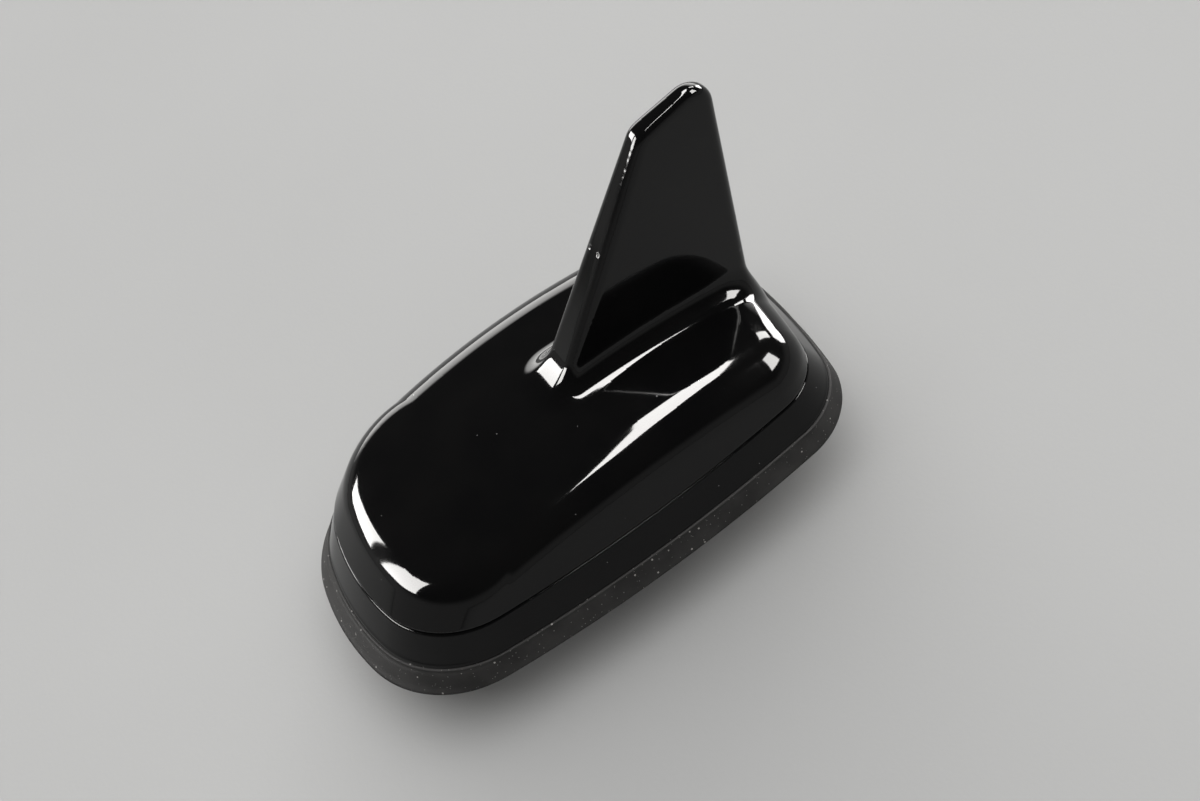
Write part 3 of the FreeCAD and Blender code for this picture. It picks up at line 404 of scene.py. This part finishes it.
# %% The band under the shut line
band_foot, band_head = INSET_GASKET + LIP, INSET_SEAM
band_top = SEAM - SHUT_GAP
band_low, flange_top = GASKET_TOP + 0.02, GASKET_TOP + 1.6
NONE, FLANGE_IN = np.zeros(3), 14.0
rings = [ring(band_low, band_foot, 0.25), ring(GASKET_TOP + 0.08, band_foot, 0.06)]
rings += [ring(GASKET_TOP + 0.3, band_foot, 0.02)]
for t in np.linspace(0.1, 0.94, 10):
    rings.append(ring(GASKET_TOP + (band_top - GASKET_TOP) * t, between(band_foot, band_head, t)))
rings += [ring(band_top - 0.25, between(band_foot, band_head, 0.966))]
rings += [ring(band_top - 0.12, band_head, 0.02), ring(band_top - 0.05, band_head, 0.08)]
rings += [ring(band_top, band_head, 0.22), ring(band_top, band_head, 1.8)]
rings += [ring(flange_top, band_foot, 1.9), ring(flange_top, NONE, FLANGE_IN)]
rings += [ring(band_low, NONE, FLANGE_IN)]
band = hooped("band_skin", rings)
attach(band, "root")
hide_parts("base_frame")
print("band faces:", len(band.data.polygons))

# %% [markdown]
# The gasket is soft rubber. Its side leans in towards the top and ends in a small rounded lip that stands a
# little proud of the band. Underneath it is hollow, with a sealing rib that follows the outline and a collar
# round the stem. The last rings turn from the outline into circles about the stem.

# %% The gasket
def circle_ring(z, radius):
    flat = outline_points((0, 0, 0))
    turn = np.arctan2(flat[:, 1], flat[:, 0])
    return np.column_stack([radius * np.cos(turn), radius * np.sin(turn), np.full(len(flat), z)])


RIM_IN, RIB_OUT, RIB_IN, CORE_IN = 8.0, 12.0, 13.8, 14.4
COLLAR_R, STEM_HOLE_R = 14.0, 9.5
HOLLOW, CORE_TOP, EDGE_Z, EDGE_IN = 2.2, 6.76, 0.3, 0.4
lip_low, lip_flat = GASKET_TOP - 0.45, GASKET_TOP - 0.04
rings = [ring(0.0, NONE, 0.7), ring(0.08, NONE, 0.25), ring(0.35, NONE, 0.05)]
rings += [ring(0.8, between(NONE, INSET_GASKET, 0.12))]
for t in np.linspace(0.25, 0.85, 6):
    rings.append(ring(GASKET_TOP * t, between(NONE, INSET_GASKET, t)))
rings += [ring(lip_low, INSET_GASKET, -0.12), ring(GASKET_TOP - 0.25, INSET_GASKET, -0.14)]
rings += [ring(GASKET_TOP - 0.08, INSET_GASKET, -0.04), ring(GASKET_TOP, INSET_GASKET, 0.14)]
rings += [ring(GASKET_TOP - 0.02, INSET_GASKET, 0.4), ring(lip_flat, INSET_GASKET, 1.2)]
rings += [ring(lip_flat, NONE, CORE_IN), ring(CORE_TOP, NONE, CORE_IN)]
rings += [circle_ring(CORE_TOP, STEM_HOLE_R), circle_ring(0.2, STEM_HOLE_R)]
rings += [circle_ring(0.0, STEM_HOLE_R + 0.3)]
rings += [circle_ring(0.0, COLLAR_R - 0.3), circle_ring(EDGE_Z, COLLAR_R), circle_ring(HOLLOW, COLLAR_R)]
rings += [ring(HOLLOW, NONE, RIB_IN), ring(EDGE_Z, NONE, RIB_IN), ring(0.0, NONE, RIB_IN - EDGE_IN)]
rings += [ring(0.0, NONE, RIB_OUT + EDGE_IN), ring(EDGE_Z, NONE, RIB_OUT), ring(HOLLOW, NONE, RIB_OUT)]
rings += [ring(HOLLOW, NONE, RIM_IN), ring(EDGE_Z, NONE, RIM_IN), ring(0.0, NONE, RIM_IN - EDGE_IN)]
gasket = hooped("gasket_skin", rings)
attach(gasket, "root")
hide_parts("roof_gasket")
print("gasket faces:", len(gasket.data.polygons))

# %% [markdown]
# Under the roof the part is held by a hollow stem with a screw thread. A real thread is rolled or cut as one
# long spiral groove, so here each ring of points is given a radius that depends on height and on the turn
# together. The flank is a rounded saw shape, and the groove fades out at both ends.

# %% The threaded stem
PITCH, GROOVE, STEM_R = 1.5, 0.85, 7.98
THREAD_START, THREAD_END, FADE_OUT = -0.4, -11.6, 0.8
TURN_POINTS = 96


def round_ring(z, radius):
    turn = np.arange(TURN_POINTS) * 2 * math.pi / TURN_POINTS
    return np.column_stack([radius * np.cos(turn), radius * np.sin(turn), np.full(TURN_POINTS, z)])


def thread_ring(z):
    turn = np.arange(TURN_POINTS) * 2 * math.pi / TURN_POINTS
    phase = np.mod(z / PITCH - turn / (2 * math.pi), 1.0)
    flank = np.clip(1.25 - 3.0 * np.abs(phase - 0.5), 0.0, 1.0)
    ends = np.clip(min(THREAD_START - z, z - THREAD_END) / FADE_OUT, 0.0, 1.0)
    radius = STEM_R - GROOVE * (1 - flank) * ends
    return np.column_stack([radius * np.cos(turn), radius * np.sin(turn), np.full(TURN_POINTS, z)])


BORE_R, BORE_EDGE_R, FLANGE_R, STEP_R = 5.0, 5.3, 12.15, 9.15
FLANGE_TOP, FLANGE_LOW, STEM_END, THREAD_RINGS = 11.75, 9.85, -11.98, 118
rings = [round_ring(FLANGE_TOP - 0.25, BORE_R), round_ring(FLANGE_TOP, BORE_EDGE_R)]
rings += [round_ring(FLANGE_TOP, FLANGE_R - 0.25), round_ring(FLANGE_TOP - 0.25, FLANGE_R)]
rings += [round_ring(FLANGE_LOW, FLANGE_R), round_ring(FLANGE_LOW, STEP_R)]
rings += [round_ring(0.2, STEP_R), round_ring(0.0, STEP_R - 0.2), round_ring(0.0, STEM_R)]
rings += [thread_ring(z) for z in np.linspace(-0.1, THREAD_END, THREAD_RINGS)]
rings += [round_ring(STEM_END, 7.5), round_ring(STEM_END, BORE_EDGE_R), round_ring(-11.7, BORE_R)]
stem = hooped("stem_skin", rings)
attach(stem, "root")
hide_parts("threaded_stem")
print("stem faces:", len(stem.data.polygons))

# %% [markdown]
# Shared surface effects come as node groups. Fine dust is a scatter of tiny pale specks: a cell pattern gives
# each speck its place, and only a few cells are let through. Two helpers make nodes and group sockets.

# %% Dust as a node group
def socket(group, name, way, kind, value=None):
    made = group.interface.new_socket(name=name, in_out=way, socket_type=kind)
    if value is not None:
        made.default_value = value
    return made


def node(tree, kind, **settings):
    made = tree.nodes.new(kind)
    for key, value in settings.items():
        setattr(made, key, value)
    return made


def dust_group():
    group = bpy.data.node_groups.new("fine_dust", "ShaderNodeTree")
    socket(group, "Scale", "INPUT", "NodeSocketFloat", 900.0)
    socket(group, "Share", "INPUT", "NodeSocketFloat", 0.03)
    socket(group, "Size", "INPUT", "NodeSocketFloat", 0.12)
    socket(group, "Mask", "OUTPUT", "NodeSocketFloat")
    start, end = node(group, "NodeGroupInput"), node(group, "NodeGroupOutput")
    place = node(group, "ShaderNodeTexCoord")
    cells = node(group, "ShaderNodeTexVoronoi", feature="F1")
    near = node(group, "ShaderNodeMath", operation="LESS_THAN")
    few = node(group, "ShaderNodeMath", operation="LESS_THAN")
    both = node(group, "ShaderNodeMath", operation="MULTIPLY")
    parts = node(group, "ShaderNodeSeparateColor")
    link = group.links.new
    link(place.outputs["Object"], cells.inputs["Vector"])
    link(start.outputs["Scale"], cells.inputs["Scale"])
    link(cells.outputs["Distance"], near.inputs[0])
    link(start.outputs["Size"], near.inputs[1])
    link(cells.outputs["Color"], parts.inputs["Color"])
    link(parts.outputs["Red"], few.inputs[0])
    link(start.outputs["Share"], few.inputs[1])
    link(near.outputs[0], both.inputs[0])
    link(few.outputs[0], both.inputs[1])
    link(both.outputs[0], end.inputs["Mask"])
    return group


fine_dust = dust_group()
print("node group:", fine_dust.name)

# %% [markdown]
# No real surface is quite even. Soft patches are slow clouds of noise for smears and stains, and grain is a
# fine noise that serves as the height of a bump. Both come out of one group, so every finish can share it.

# %% Patches and grain as a node group
def uneven_group():
    group = bpy.data.node_groups.new("uneven", "ShaderNodeTree")
    socket(group, "Patch Scale", "INPUT", "NodeSocketFloat", 120.0)
    socket(group, "Grain Scale", "INPUT", "NodeSocketFloat", 2500.0)
    socket(group, "Patches", "OUTPUT", "NodeSocketFloat")
    socket(group, "Grain", "OUTPUT", "NodeSocketFloat")
    start, end = node(group, "NodeGroupInput"), node(group, "NodeGroupOutput")
    place = node(group, "ShaderNodeTexCoord")
    slow, fine = node(group, "ShaderNodeTexNoise"), node(group, "ShaderNodeTexNoise")
    slow.inputs["Detail"].default_value = 4.0
    spread = node(group, "ShaderNodeMapRange")
    spread.inputs["From Min"].default_value = 0.35
    spread.inputs["From Max"].default_value = 0.65
    link = group.links.new
    link(place.outputs["Object"], slow.inputs["Vector"])
    link(place.outputs["Object"], fine.inputs["Vector"])
    link(start.outputs["Patch Scale"], slow.inputs["Scale"])
    link(start.outputs["Grain Scale"], fine.inputs["Scale"])
    link(slow.outputs["Fac"], spread.inputs["Value"])
    link(spread.outputs["Result"], end.inputs["Patches"])
    link(fine.outputs["Fac"], end.inputs["Grain"])
    return group


uneven = uneven_group()
print("node group:", uneven.name)

# %% [markdown]
# One recipe makes every finish: two close colours mixed by the patches, a roughness that wanders between two
# values, a bump from the grain, and dust on top where a piece lies open. Only the numbers differ.

# %% The recipe for a finish
def mapped(tree, source, low, high):
    """A value from 0 to 1 spread between two others."""
    made = node(tree, "ShaderNodeMapRange")
    made.inputs["To Min"].default_value = low
    made.inputs["To Max"].default_value = high
    tree.links.new(source, made.inputs["Value"])
    return made.outputs["Result"]


def blended(tree, factor, first, second):
    """Two colours mixed by a factor; the first may be a socket."""
    made = node(tree, "ShaderNodeMix", data_type="RGBA")
    tree.links.new(factor, made.inputs["Factor"])
    if isinstance(first, tuple):
        made.inputs["A"].default_value = (*first, 1)
    else:
        tree.links.new(first, made.inputs["A"])
    made.inputs["B"].default_value = (*second, 1)
    return made.outputs["Result"]


def finish(name, first, second, rough, metallic=0.0, patch=120.0, grain=2500.0, depth=0.02, dust=()):
    """Material from two colours, a roughness range, a grain depth in mm and layers of dust."""
    made = bpy.data.materials.new(name)
    made.use_nodes = True
    tree = made.node_tree
    shader = tree.nodes["Principled BSDF"]
    effect = node(tree, "ShaderNodeGroup", node_tree=uneven)
    effect.inputs["Patch Scale"].default_value = patch
    effect.inputs["Grain Scale"].default_value = grain
    color = blended(tree, effect.outputs["Patches"], first, second)
    for scale, share, size, tint in dust:
        specks = node(tree, "ShaderNodeGroup", node_tree=fine_dust)
        specks.inputs["Scale"].default_value = scale
        specks.inputs["Share"].default_value = share
        specks.inputs["Size"].default_value = size
        color = blended(tree, specks.outputs["Mask"], color, tint)
    tree.links.new(color, shader.inputs["Base Color"])
    tree.links.new(mapped(tree, effect.outputs["Patches"], *rough), shader.inputs["Roughness"])
    shader.inputs["Metallic"].default_value = metallic
    bump = node(tree, "ShaderNodeBump")
    bump.inputs["Distance"].default_value = depth * MM
    tree.links.new(effect.outputs["Grain"], bump.inputs["Height"])
    tree.links.new(bump.outputs["Normal"], shader.inputs["Normal"])
    return made


# %% [markdown]
# The hood and band are moulded in black and come out of a polished tool, so they mirror the room. The black
# is deep, the smears barely change the shine, and a few specks of dust have settled. The moulding's own ripple
# is less than a thousandth of a millimetre, just enough to soften the mirrored edges.

# %% Gloss black
specks = ((450.0, 0.012, 0.07, (0.35, 0.35, 0.34)), (1300.0, 0.006, 0.12, (0.22, 0.22, 0.22)))
black = finish("piano_black", (0.0034, 0.0034, 0.0036), (0.0046, 0.0045, 0.0045), (0.045, 0.075), patch=70.0,
               grain=600.0, depth=0.0008, dust=specks)
band_black = finish("band_black", (0.0034, 0.0034, 0.0036), (0.0046, 0.0045, 0.0045), (0.06, 0.1), patch=90.0,
                    grain=600.0, depth=0.0008, dust=specks)
for material, shine in ((black, 0.24), (band_black, 0.17)):
    shader = material.node_tree.nodes["Principled BSDF"]
    shader.inputs["IOR"].default_value = 1.5
    shader.inputs["Specular IOR Level"].default_value = shine
hood.data.materials.append(black)
band.data.materials.append(band_black)
print("gloss black on:", hood.name, band.name)

# %% [markdown]
# The gasket is soft matte rubber in a dark, slightly brown grey. Rubber holds on to lint, so it carries pale
# specks of two sizes, and its skin has a fine grain from the mould.

# %% Dusty rubber
lint = ((800.0, 0.16, 0.17, (0.34, 0.325, 0.31)), (2200.0, 0.12, 0.26, (0.15, 0.145, 0.14)))
rubber = finish("dusty_rubber", (0.024, 0.0233, 0.0228), (0.037, 0.0358, 0.035), (0.55, 0.72), patch=160.0,
                grain=3200.0, depth=0.03, dust=lint)
rubber.node_tree.nodes["Principled BSDF"].inputs["Specular IOR Level"].default_value = 0.1
gasket.data.materials.append(rubber)
print("rubber on:", gasket.name)

# %% [markdown]
# Inside are a cast plate, a circuit board with its cans and chips, a ceramic patch and a copper aerial on a
# small upright board. They are hidden when the part is whole, but each still gets the finish that it has on
# the real object, so that the part can be opened or cut in a later picture.

# %% Finishes of the inner pieces
cast = finish("cast_alloy", (0.50, 0.50, 0.51), (0.60, 0.60, 0.60), (0.42, 0.6), 1.0, grain=1500.0,
              depth=0.04)
plated = finish("plated_stem", (0.58, 0.57, 0.54), (0.66, 0.65, 0.62), (0.22, 0.36), 1.0, depth=0.006)
steel = finish("zinc_screw", (0.46, 0.46, 0.47), (0.56, 0.56, 0.55), (0.28, 0.42), 1.0, patch=400.0,
               depth=0.006)
tin = finish("bright_tin", (0.62, 0.62, 0.61), (0.70, 0.70, 0.69), (0.18, 0.32), 1.0, depth=0.004)
silver = finish("silver_film", (0.76, 0.76, 0.74), (0.83, 0.83, 0.81), (0.12, 0.26), 1.0, depth=0.004)
solder = finish("soft_solder", (0.66, 0.66, 0.66), (0.74, 0.74, 0.73), (0.25, 0.4), 1.0, depth=0.01)
brass = finish("gilt_brass", (0.68, 0.52, 0.23), (0.76, 0.60, 0.29), (0.2, 0.3), 1.0, depth=0.004)
copper = finish("copper_foil", (0.66, 0.33, 0.17), (0.76, 0.42, 0.23), (0.2, 0.38), 1.0, depth=0.006)
board = finish("green_mask", (0.016, 0.10, 0.048), (0.026, 0.14, 0.07), (0.3, 0.42), patch=500.0, depth=0.008)
ceramic = finish("fired_ceramic", (0.58, 0.52, 0.42), (0.66, 0.60, 0.50), (0.5, 0.65), patch=700.0,
                 depth=0.015)
epoxy = finish("chip_epoxy", (0.016, 0.016, 0.016), (0.025, 0.025, 0.024), (0.45, 0.6), depth=0.015)
nylon = finish("pale_nylon", (0.71, 0.70, 0.65), (0.79, 0.78, 0.74), (0.4, 0.52), depth=0.01)
soft = finish("soft_rubber", (0.024, 0.024, 0.026), (0.038, 0.037, 0.038), (0.55, 0.75), depth=0.03)

# %% [markdown]
# Each solid now takes its finish by name. The three outer solids and the stem are drawn by their skins, and
# take the same finish as the skin that stands for them.

# %% Dress the solids
worn = {"outer_cover": black, "base_frame": band_black, "roof_gasket": rubber, "threaded_stem": plated,
        "base_plate": cast, "cover_seal": soft, "cable_grommet": soft, "main_board": board,
        "fin_board": board, "patch_antenna": ceramic, "patch_electrode": silver, "patch_feed_pin": solder,
        "amplifier_can": tin, "tuner_can": tin, "amplifier_chip": epoxy, "tuner_chip": epoxy,
        "lead_sockets": brass,
        "fin_holder_front": nylon, "fin_holder_rear": nylon, "fin_aerial": copper, "cover_screws": steel,
        "board_screws": steel}
for name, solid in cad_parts.items():
    solid.data.materials.clear()
    solid.data.materials.append(worn[name])
stem.data.materials.append(plated)
print("solids dressed:", len(worn))

# %% [markdown]
# The part lies on a plain pale floor, which keeps its shadow. The floor is level with the lowest point of the
# part, and has a faint mottle like sealed card.

# %% Floor
low, reach = cad_box[0][2], 4.0
floor_mesh = bpy.data.meshes.new("studio_floor")
floor_corners = [(-reach, -reach, low), (reach, -reach, low), (reach, reach, low), (-reach, reach, low)]
floor_mesh.from_pydata(floor_corners, [], [(0, 1, 2, 3)])
floor = bpy.data.objects.new("studio_floor", floor_mesh)
bpy.context.scene.collection.objects.link(floor)
card = finish("pale_floor", (0.497, 0.497, 0.492), (0.511, 0.511, 0.506), (0.65, 0.75), patch=6.0,
              grain=900.0, depth=0.02)
card.node_tree.nodes["Principled BSDF"].inputs["Specular IOR Level"].default_value = 0.0
floor_mesh.materials.append(card)
print("floor height, m:", low)

# %% [markdown]
# A mirror-like part shows the room more than the lamps. The room here is a dim dome with a bright stretch low
# on one side, like a pale wall, and a soft glow round the horizon. Azimuth runs from the nose towards +X.

# %% Room
def toward(azimuth, elevation):
    a, e = math.radians(azimuth), math.radians(elevation)
    return Vector((math.sin(a) * math.cos(e), -math.cos(a) * math.cos(e), math.sin(e)))


world = bpy.data.worlds.new("studio")
bpy.context.scene.world = world
world.use_nodes = True
tree = world.node_tree
place = node(tree, "ShaderNodeTexCoord")
facing = node(tree, "ShaderNodeVectorMath", operation="DOT_PRODUCT")
facing.inputs[1].default_value = toward(250, 0)
height = node(tree, "ShaderNodeSeparateXYZ")


def fade(low, high, start, end):
    made = node(tree, "ShaderNodeMapRange", interpolation_type="SMOOTHSTEP")
    for key, value in (("From Min", low), ("From Max", high), ("To Min", start), ("To Max", end)):
        made.inputs[key].default_value = value
    return made


sideways = fade(0.73, 0.82, 0.0, 1.0)
upward = fade(0.34, 0.49, 5.8, 0.0)
ring_glow = fade(0.12, 0.34, 0.4, 0.04)
backdrop = node(tree, "ShaderNodeMath", operation="MULTIPLY")
total = node(tree, "ShaderNodeMath", operation="ADD")
link = tree.links.new
link(place.outputs["Generated"], facing.inputs[0])
link(place.outputs["Generated"], height.inputs[0])
link(facing.outputs["Value"], sideways.inputs["Value"])
link(height.outputs["Z"], upward.inputs["Value"])
link(height.outputs["Z"], ring_glow.inputs["Value"])
link(sideways.outputs["Result"], backdrop.inputs[0])
link(upward.outputs["Result"], backdrop.inputs[1])
link(backdrop.outputs[0], total.inputs[0])
link(ring_glow.outputs["Result"], total.inputs[1])
link(total.outputs[0], tree.nodes["Background"].inputs["Strength"])
tree.nodes["Background"].inputs["Color"].default_value = (1.0, 0.99, 0.97, 1)
print("room nodes:", len(tree.nodes))

# %% [markdown]
# Two large soft lamps light the floor and the rubber. They are kept out of mirror reflections, so that the
# gloss shows only the panes of the next step.

# %% Soft lamps
def panel(name, azimuth, elevation, wide, tall, radiance, far=1.2):
    """Area lamp seen from the part in a given direction; wide and tall are angles."""
    lamp = bpy.data.lights.new(name, "AREA")
    lamp.shape = "RECTANGLE"
    lamp.size = 2 * far * math.tan(math.radians(wide) / 2)
    lamp.size_y = 2 * far * math.tan(math.radians(tall) / 2)
    lamp.energy = radiance * math.pi * lamp.size * lamp.size_y
    made = bpy.data.objects.new(name, lamp)
    bpy.context.scene.collection.objects.link(made)
    made.location = Vector((0, 0, 0.025)) + toward(azimuth, elevation) * far
    made.rotation_euler = (-toward(azimuth, elevation)).to_track_quat("-Z", "Y").to_euler()
    made.visible_glossy = False
    made.visible_camera = False
    return made


panel("soft_fill", 236, 74, 104, 92, 1.36)
panel("front_fill", 100, 28, 60, 40, 0.42)
print("soft lamps set")

# %% [markdown]
# Windows and a ceiling light show in the gloss as sharp bright shapes. Each is a flat lit pane, placed in the
# direction from which a mirror at that spot of the hood would see it.

# %% Lit panes
def glow(name, radiance):
    made = bpy.data.materials.new(name)
    made.use_nodes = True
    shader = made.node_tree.nodes["Principled BSDF"]
    shader.inputs["Base Color"].default_value = (0, 0, 0, 1)
    shader.inputs["Specular IOR Level"].default_value = 0.0
    shader.inputs["Emission Color"].default_value = (1, 0.985, 0.965, 1)
    shader.inputs["Emission Strength"].default_value = radiance
    return made


def pane(name, points, material):
    """Lit pane that only mirror-like surfaces see."""
    mesh = bpy.data.meshes.new(name)
    mesh.from_pydata(points, [], [tuple(range(len(points)))])
    mesh.materials.append(material)
    made = bpy.data.objects.new(name, mesh)
    bpy.context.scene.collection.objects.link(made)
    made.visible_camera = False
    made.visible_diffuse = False
    made.visible_shadow = False
    return made


def upright_pane(name, corners, material):
    """Pane with corners given as azimuth and elevation."""
    return pane(name, [Vector((0, 0, 0.025)) + toward(*corner) * 1.2 for corner in corners], material)


window, ceiling = glow("window_light", 35.0), glow("ceiling_light", 46.0)
upright_pane("nose_pane_left", [(304, 14), (298, 25), (314, 36), (322, 12)], window)
upright_pane("nose_pane_right", [(328, 11), (324, 38), (348, 41), (353, 18)], window)
upright_pane("tail_pane_low", [(186, 3), (185, 12), (194, 22), (207, 19), (212, 3)], window)
upright_pane("tail_pane_high", [(196, 28), (206, 26), (214, 42), (206, 44)], window)
upright_pane("tail_pane_side", [(172, 42), (156, 22), (132, 29), (156, 51)], window)
ceiling_corners = [(-0.40, 0.22), (-0.49, 0.67), (-0.36, 0.69), (-0.10, 0.61), (0.06, 0.41), (0.24, 0.14),
                   (0.34, -0.10), (0.12, 0.06), (-0.18, 0.20)]
pane("ceiling_pane", [(x, y, 1.2) for x, y in ceiling_corners], ceiling)
print("panes: 6")

# %% [markdown]
# The camera looks down on the part from its +X side, rolled so that the nose comes towards the lower left. Its
# place and focal length were fitted to points that can be told apart in the picture.

# %% Camera
AZIMUTH, ELEVATION, ROLL = 84.02, 50.18, math.radians(-30.77)
DISTANCE, FOCAL_PX, FRAME_PX = 0.3793, 1835.78, 1200
OFF_X, OFF_Y = -61.44, 17.93
target = Vector((0, 0, 0.0211))
back = toward(AZIMUTH, ELEVATION)
level = Vector((math.cos(math.radians(AZIMUTH)), math.sin(math.radians(AZIMUTH)), 0))
upright = back.cross(level)
right = level * math.cos(ROLL) + upright * math.sin(ROLL)
above = upright * math.cos(ROLL) - level * math.sin(ROLL)
eye = target + back * DISTANCE
aim = target - right * (OFF_X / FOCAL_PX * DISTANCE) + above * (OFF_Y / FOCAL_PX * DISTANCE)
back = (eye - aim).normalized()
right = (right - back * right.dot(back)).normalized()
above = back.cross(right)
lens = bpy.data.cameras.new("photo_camera")
lens.sensor_width = 36.0
lens.lens = FOCAL_PX / FRAME_PX * lens.sensor_width
lens.clip_start = 0.01
camera = bpy.data.objects.new("photo_camera", lens)
bpy.context.scene.collection.objects.link(camera)
turn = Matrix((right, above, back)).transposed().to_4x4()
camera.matrix_world = Matrix.Translation(eye) @ turn
bpy.context.scene.camera = camera
bpy.context.scene.view_settings.view_transform = "Standard"
print("camera at:", [round(v, 4) for v in eye])
